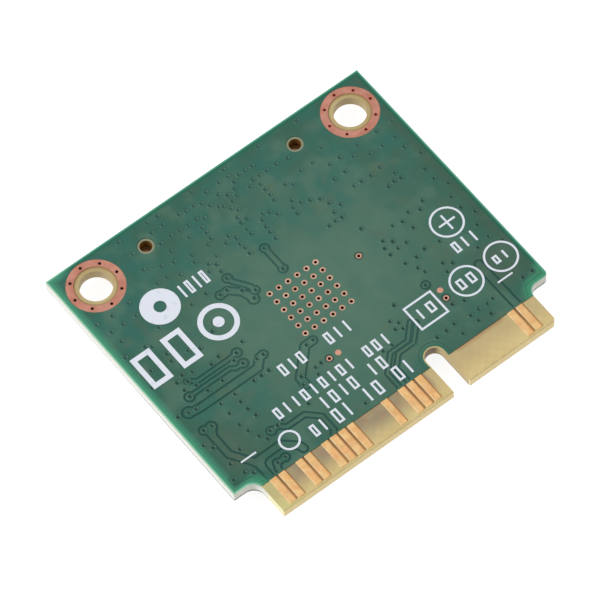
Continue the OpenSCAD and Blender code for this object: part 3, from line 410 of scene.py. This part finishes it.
def glass_laminate():
    """Glass-fibre board: yellow-beige where bare, duller where the inner copper ends under the tongue."""
    material, graph, shader, place, x, y, z = new_material("glass_laminate", 0.5, specular=0.35)
    from_end = graph.maths("SUBTRACT", y, END_Y)
    mottle = graph.group("patches", Place=place, Size=1.6, Low=0.3, High=0.7)["Mask"]
    colour = graph.mix(mottle, rgb(208, 186, 130), rgb(202, 179, 122))
    # the glass cloth shows as faint squares
    cloth = None
    for along in (x, y):
        strands = graph.maths("SINE", graph.maths("MULTIPLY", along, math.tau / CLOTH_PITCH))
        cloth = strands if cloth is None else graph.maths("MULTIPLY", cloth, strands)
    cloth = graph.maths("MULTIPLY", graph.step(cloth, -0.9, 0.9, 0.0, 0.4),
                        graph.step(graph.noise(place, 0.5, 2.0), 0.35, 0.65, 0.25, 0.8))
    colour = graph.mix(cloth, colour, rgb(222, 198, 136))
    green = graph.step(x, -HALF_W + 4.2, -HALF_W + 2.6)
    colour = graph.mix(graph.maths("MULTIPLY", green, 0.6), colour, rgb(198, 196, 130))
    # the inner copper shows dimly through the upper half of the tongue, most of all in its middle
    cloud = graph.step(graph.noise(place, 0.7, 2.0), 0.3, 0.7, 0.75, 1.0)
    upper = graph.maths("MULTIPLY", graph.step(from_end, 0.0, 2.1), cloud)
    inner = graph.group("field", X=x, Y=y, Left=-HALF_W + 2.9, Right=KEY_X - 1.2, Low=END_Y - 1.0,
                        High=END_Y + 3.0, Soft=0.5)["Mask"]
    share = graph.maths("MULTIPLY", upper, graph.maths("MULTIPLY_ADD", inner, 0.55, 0.35))
    ruddy = graph.group("patches", Place=place, Size=0.8, Low=0.4, High=0.7)["Mask"]
    colour = graph.mix(share, colour, graph.mix(ruddy, rgb(136, 124, 100), rgb(144, 120, 98)))
    # painted shadow: brown shade on the laminate in the narrow gaps beside the contacts and just right of each run,
    # darker further from the end
    gap_shadow = None
    for first, last in CONTACT_RUNS:
        start = (first - REAR_MIDDLE) * CONTACT_PITCH - CONTACT_W / 2
        end = (last - REAR_MIDDLE) * CONTACT_PITCH + CONTACT_W / 2 + 0.13
        run = graph.group("field", X=x, Y=y, Left=start, Right=end, Low=CONTACT_LOW.y - 0.02,
                          High=CONTACT_HIGH.y, Soft=0.1)["Mask"]
        gap_shadow = run if gap_shadow is None else graph.maths("MAXIMUM", gap_shadow, run)
    colour = graph.mix(gap_shadow, colour, graph.mix(graph.step(from_end, 0.4, 2.6), rgb(158, 122, 74), rgb(128, 96, 60)))
    # the mask's lower edge stains the laminate between key slot and right contacts
    stain = graph.group("field", X=x, Y=y, Left=KEY_X + 1.4, Right=KEY_X + 6.2, Low=MASK_EDGE_Y - 0.5,
                        High=MASK_EDGE_Y + 1.0, Soft=0.5)["Mask"]
    colour = graph.mix(graph.maths("MULTIPLY", stain, 0.7), colour, rgb(166, 126, 90))
    # duller and browner at the mounting holes and at the holes behind the receptacles
    mount = graph.group("round_pair", X=x, Y=y, Middle_X=MOUNT_X, Middle_Y=MOUNT_Y, Radius=1.75, Soft=0.1)
    bare = graph.mix(mottle, rgb(186, 166, 118), rgb(176, 154, 106))
    bare = graph.mix(graph.step(mount["Distance"], 1.45, 1.72), bare, rgb(146, 116, 74))
    colour = graph.mix(mount["Mask"], colour, bare)
    jack = graph.group("round_pair", X=x, Y=y, Middle_X=JACK_X, Middle_Y=JACK_Y, Radius=0.9, Soft=0.1)
    bare = graph.mix(graph.step(jack["Distance"], 0.62, 0.74), rgb(136, 140, 116), rgb(74, 106, 86))
    colour = graph.mix(jack["Mask"], colour, bare)
    # cut walls, coloured by the way they face: those that look left or down are painted pale as painted light, and
    # painted shade darkens their feet, the key slot's walls and the receptacle holes' walls
    facing = graph.node("ShaderNodeSeparateXYZ")
    graph.feed(facing.inputs[0], graph.node("ShaderNodeNewGeometry").outputs["Normal"])
    leftward = graph.step(facing.outputs[0], -0.6, -0.9)
    stacked = graph.node("ShaderNodeVectorMath", operation="MULTIPLY")
    graph.feed(stacked.inputs[0], place)
    stacked.inputs[1].default_value = (0.5, 0.5, 7.0)
    layers = graph.step(graph.noise(stacked.outputs[0], 1.4, 2.0), 0.35, 0.65)
    under = graph.step(z, BOARD_HIGH.z - 0.25, BOARD_HIGH.z - 0.55)
    # painted shade: a dark line along the foot of every wall, on the lit walls growing towards the contact end
    foot = graph.step(z, BOARD_LOW.z + 0.2, BOARD_LOW.z + 0.08)
    # painted light: walls that look left are painted pale, palest low down, as if lit by the left lamp
    lit = graph.mix(under, rgb(204, 202, 190), rgb(222, 221, 214))
    near = graph.step(y, 6.0, -4.0, 0.25, 0.85)
    lit = graph.mix(graph.maths("MULTIPLY", foot, near), lit, rgb(124, 126, 118))
    wall = graph.mix(layers, rgb(204, 202, 192), rgb(190, 188, 178))
    wall = graph.mix(graph.maths("MULTIPLY", foot, 0.85), wall, rgb(96, 94, 84))
    wall = graph.mix(leftward, wall, lit)
    # painted light: on the tongue's end, walls that look left are painted pale
    on_tongue = graph.step(from_end, 2.4, 1.6)
    end_wall = graph.mix(foot, rgb(216, 194, 138), rgb(146, 126, 92))
    wall = graph.mix(on_tongue, wall, graph.mix(leftward, end_wall, rgb(226, 218, 176)))
    wall = graph.mix(mount["Mask"], wall, rgb(178, 158, 116))
    # painted shade: the walls of the blind holes behind the receptacles are painted dark brown
    wall = graph.mix(jack["Mask"], wall, rgb(126, 88, 36))
    # painted shade: the key slot's walls are painted in brown shade, darker at the foot and on the walls that look
    # left
    key = graph.group("field", X=x, Y=y, Left=KEY_X - 1.1, Right=KEY_X + 1.1, Low=END_Y + 0.12,
                      High=END_Y + 4.4, Soft=0.05)["Mask"]
    flank = graph.mix(foot, rgb(190, 168, 118), rgb(136, 114, 80))
    wall = graph.mix(key, wall, graph.mix(leftward, rgb(126, 106, 82), flank))
    upright = graph.step(graph.maths("ABSOLUTE", facing.outputs[2]), 0.55, 0.35)
    graph.feed(shader.inputs["Base Color"], graph.mix(upright, colour, wall))
    grain = graph.group("grain", Place=place, Size=0.12)
    graph.feed(shader.inputs["Roughness"], graph.step(grain["Mask"], 0.0, 1.0, 0.45, 0.6))
    graph.feed(shader.inputs["Normal"], graph.bump(grain["Height"], 0.008))
    return material


def metal(name, light, dark, roughness, grain_size, depth, metallic=1.0, rolled=False, spread=0.08, cloud=1.4):
    """Sheet, plating or solder with clouded colour, grain and uneven gloss."""
    material, graph, shader, place, x, y, z = new_material(name, roughness, metallic=metallic)
    cloudy = graph.group("patches", Place=place, Size=cloud, Low=0.36, High=0.66)["Mask"]
    graph.feed(shader.inputs["Base Color"], graph.mix(cloudy, light, dark))
    grain = graph.group("rolled" if rolled else "grain", Place=place, Size=grain_size)
    graph.feed(shader.inputs["Roughness"],
               graph.step(grain["Mask"], 0.0, 1.0, roughness - spread, roughness + spread))
    graph.feed(shader.inputs["Normal"], graph.bump(grain["Height"], depth))
    return material


def rear_gold():
    """Gold of the rear contacts, with a painted highlight along each one's left and upper edge and painted shade
    along its right.
    """
    material, graph, shader, place, x, y, z = new_material("rear_gold", 0.45, metallic=0.55)
    cloudy = graph.group("patches", Place=place, Size=0.5, Low=0.36, High=0.66)["Mask"]
    colour = graph.mix(cloudy, rgb(255, 212, 146), rgb(255, 198, 130))
    number = graph.maths("ADD", graph.maths("DIVIDE", x, CONTACT_PITCH), REAR_MIDDLE)
    across = graph.maths("SUBTRACT", number, graph.maths("ROUND", number))
    edge = CONTACT_W / 2 / CONTACT_PITCH
    # painted shade along each contact's right edge
    right = graph.step(across, edge - 0.18, edge)
    colour = graph.mix(graph.maths("MULTIPLY", right, 0.7), colour, rgb(224, 150, 88))
    # painted highlight along each contact's left and upper edge
    left = graph.step(across, -edge + 0.16, -edge + 0.02)
    upper = graph.step(y, CONTACT_HIGH.y - 0.16, CONTACT_HIGH.y - 0.04)
    pale = graph.maths("MULTIPLY", graph.maths("MAXIMUM", left, upper), 0.7)
    colour = graph.mix(pale, colour, rgb(255, 232, 186))
    # worn and a little redder where the socket's springs have rubbed
    rubbed = graph.group("field", X=x, Y=y, Left=-HALF_W, Right=HALF_W, Low=END_Y + 0.7, High=END_Y + 1.9,
                         Soft=0.4)["Mask"]
    colour = graph.mix(graph.maths("MULTIPLY", rubbed, 0.25), colour, rgb(244, 176, 124))
    graph.feed(shader.inputs["Base Color"], colour)
    grain = graph.group("grain", Place=place, Size=0.08)
    graph.feed(shader.inputs["Roughness"], graph.step(grain["Mask"], 0.0, 1.0, 0.38, 0.54))
    graph.feed(shader.inputs["Normal"], graph.bump(grain["Height"], 0.008))
    return material


def bare_copper():
    """Tarnished copper of the rings and test lands, paler on the small lands of the heat field."""
    material, graph, shader, place, x, y, z = new_material("bare_copper", 0.5, metallic=0.5)
    cloudy = graph.group("patches", Place=place, Size=1.1, Low=0.36, High=0.66)["Mask"]
    colour = graph.mix(cloudy, rgb(214, 150, 128), rgb(202, 132, 110))
    ring = graph.group("round_pair", X=x, Y=y, Middle_X=MOUNT_X, Middle_Y=MOUNT_Y, Radius=2.5, Soft=0.1)["Mask"]
    colour = graph.mix(ring, rgb(230, 168, 142), colour)
    heat = graph.group("field", X=x, Y=y, Left=HEAT_LOW.x - 0.5, Right=HEAT_HIGH.x + 0.5,
                       Low=HEAT_LOW.y - 0.5, High=HEAT_HIGH.y + 0.5, Soft=0.2)["Mask"]
    colour = graph.mix(heat, colour, graph.mix(cloudy, rgb(230, 186, 160), rgb(214, 166, 140)))
    graph.feed(shader.inputs["Base Color"], colour)
    grain = graph.group("grain", Place=place, Size=0.1)
    graph.feed(shader.inputs["Roughness"], graph.step(grain["Mask"], 0.0, 1.0, 0.42, 0.58))
    graph.feed(shader.inputs["Normal"], graph.bump(grain["Height"], 0.006))
    return material


def via_barrel():
    """Plating inside the open vias: dark brown, paler in the ring on the card's right."""
    material, graph, shader, place, x, y, z = new_material("via_barrel", 0.5, metallic=0.4)
    cloudy = graph.group("patches", Place=place, Size=0.6, Low=0.36, High=0.66)["Mask"]
    colour = graph.mix(cloudy, rgb(116, 48, 38), rgb(92, 38, 30))
    paler = graph.step(x, HALF_W - 6.0, HALF_W - 5.0)
    graph.feed(shader.inputs["Base Color"], graph.mix(paler, colour, rgb(206, 104, 88)))
    grain = graph.group("grain", Place=place, Size=0.05)
    graph.feed(shader.inputs["Roughness"], graph.step(grain["Mask"], 0.0, 1.0, 0.42, 0.58))
    graph.feed(shader.inputs["Normal"], graph.bump(grain["Height"], 0.004))
    return material


def jack_resin():
    """Ivory resin of the receptacle bases, darkened with painted shade where the hole through the board shows it.
    """
    material, graph, shader, place, x, y, z = new_material("jack_resin", 0.5, specular=0.4)
    speckle = graph.group("patches", Place=place, Size=0.12, Low=0.42, High=0.68)["Mask"]
    colour = graph.mix(speckle, rgb(226, 219, 202), rgb(214, 206, 188))
    # painted shade: brown where the blind hole through the board looks onto the base
    hole = graph.group("round_pair", X=x, Y=y, Middle_X=JACK_X, Middle_Y=JACK_Y, Radius=0.6, Soft=0.1)["Mask"]
    back = graph.step(z, BOARD_LOW.z - 0.12, BOARD_LOW.z - 0.08)
    colour = graph.mix(graph.maths("MULTIPLY", hole, back), colour, rgb(150, 108, 62))
    graph.feed(shader.inputs["Base Color"], colour)
    grain = graph.group("grain", Place=place, Size=0.08)
    graph.feed(shader.inputs["Roughness"], graph.step(grain["Mask"], 0.0, 1.0, 0.44, 0.58))
    graph.feed(shader.inputs["Normal"], graph.bump(grain["Height"], 0.005))
    return material


def moulded(name, light, dark, roughness, grain_size, depth, specular=0.4):
    """Moulding compound, ceramic or rubber with a speckled face."""
    material, graph, shader, place, x, y, z = new_material(name, roughness, specular=specular)
    speckle = graph.group("patches", Place=place, Size=0.12, Low=0.42, High=0.68)["Mask"]
    graph.feed(shader.inputs["Base Color"], graph.mix(speckle, light, dark))
    grain = graph.group("grain", Place=place, Size=grain_size)
    graph.feed(shader.inputs["Roughness"],
               graph.step(grain["Mask"], 0.0, 1.0, roughness - 0.06, roughness + 0.08))
    graph.feed(shader.inputs["Normal"], graph.bump(grain["Height"], depth))
    return material


def white_print():
    """Screen-printed ink, a little thin in places."""
    material, graph, shader, place, x, y, z = new_material("white_print", 0.6, specular=0.3)
    thin = graph.group("patches", Place=place, Size=0.5, Low=0.55, High=0.75)["Mask"]
    graph.feed(shader.inputs["Base Color"], graph.mix(thin, rgb(218, 221, 229), rgb(204, 210, 219)))
    grain = graph.group("grain", Place=place, Size=0.08)
    graph.feed(shader.inputs["Normal"], graph.bump(grain["Height"], 0.004))
    return material


def floor_finish():
    """Pale paper, lit so evenly that it looks white."""
    material, graph, shader, place, x, y, z = new_material("pale_paper", 0.9, specular=0.1)
    graph.feed(shader.inputs["Base Color"], (0.4, 0.4, 0.4, 1.0))
    graph.feed(shader.inputs["Emission Color"], (1.0, 1.0, 1.0, 1.0))
    graph.feed(shader.inputs["Emission Strength"], 0.85)
    return material


# ---------------------------------------------------------------- pieces

# Covered vias, as places across the card and from its contact end, read area by area
VIAS = {
    "top_left": [
        (-14.1, 21.0), (-12.7, 20.9), (-11.1, 21.0), (-13.6, 19.8), (-12.5, 19.8), (-11.3, 19.8), (-13.5, 18.7),
        (-14.1, 17.4), (-12.4, 17.2), (-10.6, 17.9), (-7.5, 17.9), (-6.1, 18.0), (-8.4, 21.0), (-7.5, 21.0),
        (-6.6, 20.5), (-5.1, 20.7), (-8.5, 22.6), (-5.9, 22.6), (-7.25, 22.0), (-6.3, 21.7), (-4.9, 21.3),
        (-8.3, 24.2), (-6.1, 23.6), (-5.1, 23.7), (-8.5, 25.7), (-5.8, 25.75), (-6.1, 24.8)],
    "top_middle": [
        (-4.85, 25.7), (-1.6, 25.8), (1.5, 25.8), (4.8, 25.75), (-0.75, 25.0), (0.55, 25.1), (1.4, 25.1),
        (-5, 24.8), (-3.5, 24.8), (-2.9, 24.65), (-2.2, 24.7), (-1.6, 24.45), (-0.15, 24.25), (1.5, 24.4),
        (2.15, 24.7), (2.7, 24.7), (3.4, 24.7), (-4.3, 23.6), (-3.5, 23.6), (-2.75, 23.6), (-2.2, 23.3),
        (-1.2, 23.9), (-0.75, 23.4), (-0.45, 23.2), (0.4, 23.8), (0.35, 23.15), (0.9, 23.3), (1.15, 23.9),
        (2.15, 23.3), (2.7, 23.65), (3.3, 23.65), (4, 23.65), (4.9, 23.65), (-4.1, 22.7), (-2.85, 22.75),
        (-2.85, 22.2), (-2.9, 21.6), (-0.15, 22.7), (0.2, 22.25), (-0.25, 21.75), (-0.3, 21.2), (0.25, 21.25),
        (-0.3, 20.5), (-0.3, 20), (2.9, 23), (2.9, 22.4), (2.9, 21.8), (2.85, 21.25), (4.35, 21.8), (4.8, 21.4),
        (-3.4, 21.25), (-2.25, 20.5), (-3.5, 20.1), (-1.75, 20.9), (-1.4, 20.4), (1.45, 20.85), (1.1, 20.4),
        (1.9, 20.6), (2.3, 20.1), (3.85, 20.35), (-4.4, 19.9), (-4.75, 19.35), (-3.95, 19.5), (-4.05, 18.8),
        (-1.5, 19.8), (-1.4, 19.3), (-1.4, 18.7), (0.95, 19.75), (0.9, 19.2), (0.9, 18.5), (3.55, 19.8),
        (4.3, 19.8), (3.5, 19.2), (4.95, 19.5)],
    "top_right": [
        (5.9, 23.5), (6, 22), (7.1, 22), (8.05, 21.05), (9, 21.05), (8.45, 22.65), (9.9, 20.5), (7.5, 19.8),
        (8.55, 19.8), (5.6, 19.1), (5.9, 18.4), (8.3, 18.4), (9, 18.35), (9.85, 18.3), (10.8, 18.45),
        (11, 19.85), (12.2, 19.85), (13.4, 19.85), (10.7, 21.1), (12.6, 21.1), (14.1, 21.1), (13.4, 18.7),
        (6.5, 17.75), (5.7, 17.5), (11.4, 17.35), (14.05, 17.5), (8.5, 25.7)],
    "middle_left": [
        (-12, 16.9), (-12.7, 16.2), (-9.7, 16.3), (-11.5, 15.7), (-11.6, 15), (-13.3, 15.3), (-7.2, 15.7),
        (-7.7, 15.1), (-10.1, 14.95), (-11.2, 14.35), (-9.3, 14.5), (-14.1, 14.1), (-11.7, 13.55),
        (-12.4, 13.25), (-10.95, 13.3), (-8.65, 13.1), (-6.5, 13), (-9.45, 12.9), (-11.7, 12.85),
        (-12.35, 12.4), (-11.4, 12.2), (-7.4, 12.5), (-7.95, 12.1), (-12.36, 11.74), (-7.57, 11.49),
        (-9.65, 11.3), (-11, 11.3), (-6.54, 11.14), (-5.93, 11.14), (-13.25, 10.7), (-12.65, 10.6),
        (-14.1, 10.9), (-10.95, 9.8), (-9.65, 9.8), (-7.85, 9.8), (-7.15, 9.8), (-6.45, 9.8), (-13.3, 8.8),
        (-12.6, 8.75), (-10.95, 8.75), (-9.7, 9), (-9.65, 8.2), (-10.95, 7.5), (-9.5, 7.4), (-14.1, 7.8),
        (-13.65, 7.2), (-10.75, 6.7)],
    "middle": [
        (-5.3, 17.24), (-4.67, 17.24), (-3.8, 16.5), (-3, 15.9), (-3.5, 15.4), (-4.06, 18.07), (-0.28, 18.36),
        (-0.28, 16.06), (4.7, 16.8), (5.3, 16.85), (5.9, 16.8), (-2.96, 9.74), (-2.31, 9.78), (4.2, 8.3),
        (-4.9, 7.85), (-3.6, 7.8), (-3.05, 7.85), (-5.2, 7.2), (-3.8, 7.2), (3.1, 7.4), (3.55, 6.9), (3, 6.6),
        (3.5, 6.3), (1.15, 5.7), (2, 5.7)],
    "middle_right": [
        (10.3, 16.7), (10.9, 16.8), (11.5, 16.7), (13.4, 16.2), (6.4, 15.1), (13.4, 15.1), (10.05, 14),
        (11.5, 14.1), (14, 14.1), (8.4, 13.8), (9.2, 13.6), (10.9, 13.6), (7, 13.2), (13.4, 13), (6.7, 12.6),
        (7.55, 12.7), (9.5, 12.7), (6.7, 11.9), (7.5, 12), (8.3, 12), (13.4, 11.8), (14, 10.85), (7.1, 10.6),
        (8.1, 10.5), (9, 10.7), (10.3, 10.5), (7.6, 9.7), (7.8, 9.1), (13.4, 9.85), (9.3, 8.85), (9.9, 8.4),
        (9.1, 8.05), (12.2, 8.25), (13.4, 8.5), (14.05, 7.6), (7.12, 8.17)],
    "bottom": [
        (-12.2, 5.85), (-10.4, 5.85), (-9.5, 5.7), (-8.8, 5.7), (-8.25, 5.85), (-5.9, 5.7), (-13.5, 5.3),
        (-10.05, 5.25), (-14.1, 4.1), (-13.1, 4.1), (-12.6, 3.65), (-10.68, 3.21), (-9.96, 3.25), (-5.1, 3.05),
        (-2.6, 3.05), (5, 4.1), (5.9, 4.1), (6.7, 4.2), (7.65, 5.6), (8.55, 5.3), (8.55, 6.5), (8.1, 4),
        (8.9, 4.05), (9.7, 4), (10.3, 4.1), (6.7, 3.15), (8.3, 3.3), (9.4, 3.15), (13.2, 4.1), (14.1, 4.1)],
}
# The places above were read on a view that put the contacts too low and the far edge right
VIA_SHIFT_Y = 0.29
VIA_SHRINK_Y = 0.006
VIA_SIDES = 14
VIA_R = 0.26
VIA_RISE = 0.005
VIA_DIP = 0.0046


def via_cap(radius):
    """One covered via: a low rim of lacquer round a sunk middle, as a closed mesh with its foot at height 0."""
    shape = bmesh.new()
    foot = 0.004
    bmesh.ops.create_cone(shape, cap_ends=True, segments=VIA_SIDES, radius1=radius, radius2=radius, depth=foot)
    bmesh.ops.translate(shape, verts=shape.verts, vec=(0.0, 0.0, -foot / 2 + 0.0005))
    top = [face for face in shape.faces if face.normal.z > 0.9]
    for thickness, depth, finish in ((0.3, VIA_RISE, 0), (0.25, -VIA_DIP / 2, 1), (0.25, -VIA_DIP / 2, 1)):
        ring = bmesh.ops.inset_region(shape, faces=top, thickness=thickness * radius, depth=depth,
                                      use_even_offset=False)["faces"]
        for face in ring:
            face.material_index = finish
    for face in top:
        face.material_index = 1
    for face in shape.faces:
        face.smooth = True
    reach = shape.verts.layers.float.new("reach")
    for vert in shape.verts:
        vert[reach] = vert.co.xy.length / radius
    made = bpy.data.meshes.new("via_cap")
    shape.to_mesh(made)
    shape.free()
    return made


def add_vias(name, places, height, up, materials):
    """All covered vias of one face as one piece."""
    draw = random.Random(11)
    whole = bmesh.new()
    for x, y in places:
        cap = via_cap(VIA_R * draw.uniform(0.9, 1.12))
        start = len(whole.verts)
        whole.from_mesh(cap)
        bpy.data.meshes.remove(cap)
        whole.verts.ensure_lookup_table()
        turn = Matrix.Rotation(draw.uniform(0.0, math.tau), 4, "Z")
        flip = Matrix.Identity(4) if up else Matrix.Rotation(math.pi, 4, "X")
        true_y = y + VIA_SHIFT_Y - VIA_SHRINK_Y * y
        put = Matrix.Translation((x, true_y + END_Y, height)) @ flip @ turn
        bmesh.ops.transform(whole, matrix=put, verts=whole.verts[start:])
    bmesh.ops.scale(whole, vec=(MM, MM, MM), verts=whole.verts)
    mesh = bpy.data.meshes.new(name)
    whole.to_mesh(mesh)
    whole.free()
    for material in materials:
        mesh.materials.append(material)
    piece = bpy.data.objects.new(name, mesh)
    bpy.context.scene.collection.objects.link(piece)
    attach(piece, "root")
    return piece


def add_floor():
    shape = bmesh.new()
    bmesh.ops.create_grid(shape, x_segments=1, y_segments=1, size=3.0)
    mesh = bpy.data.meshes.new("floor")
    shape.to_mesh(mesh)
    shape.free()
    mesh.materials.append(floor_finish())
    floor = bpy.data.objects.new("floor", mesh)
    bpy.context.scene.collection.objects.link(floor)


# ---------------------------------------------------------------- the scene

set_camera()
set_light()
make_groups()
add_floor()

rear_lacquer = solder_mask_rear()
front_lacquer = solder_mask_plain("solder_mask_front", rgb(46, 104, 84))
via_lacquer = via_dip_lacquer()
laminate = glass_laminate()
gold = metal("contact_gold", rgb(255, 208, 150), rgb(255, 198, 138), 0.45, 0.1, 0.006, metallic=0.7)
copper = bare_copper()
barrel = via_barrel()
solder = metal("solder_tin", rgb(205, 207, 210), rgb(182, 184, 188), 0.34, 0.14, 0.012)
sheet = metal("can_sheet", rgb(200, 198, 192), rgb(192, 190, 184), 0.34, 0.07, 0.003, rolled=True, spread=0.05,
              cloud=5.0)
ink = white_print()
resin = jack_resin()
epoxy = moulded("black_epoxy", rgb(36, 36, 38), rgb(24, 24, 26), 0.6, 0.06, 0.008)
silicone = moulded("grey_silicone", rgb(156, 164, 170), rgb(142, 150, 158), 0.7, 0.1, 0.01)
fired = moulded("fired_ceramic", rgb(166, 136, 104), rgb(146, 118, 88), 0.5, 0.06, 0.006)
ferrite = moulded("sintered_ferrite", rgb(66, 66, 70), rgb(50, 50, 54), 0.55, 0.05, 0.01)

FINISHES = {
    "laminate": laminate, "copper": copper, "mask": front_lacquer, "gold": gold, "print": ink, "tin": solder,
    "nickel_silver": sheet, "resin": resin, "chip": epoxy, "pad": silicone, "ceramic": fired,
    "ferrite": ferrite,
}
BY_NODE = {"rear_mask": rear_lacquer, "rear_contacts": rear_gold(), "heat_vias": barrel, "ring_vias": barrel, "test_vias": barrel}
for part in frame["record"]["subparts"]:
    node = frame["nodes"][part["node"]]
    finish = BY_NODE.get(part["node"], FINISHES[part["material_slot"]])
    node.data.materials.clear()
    node.data.materials.append(finish)

every_via = [place for area in VIAS.values() for place in area]
add_vias("covered_vias_rear", every_via, MASK_TOP, True, [rear_lacquer, via_lacquer])
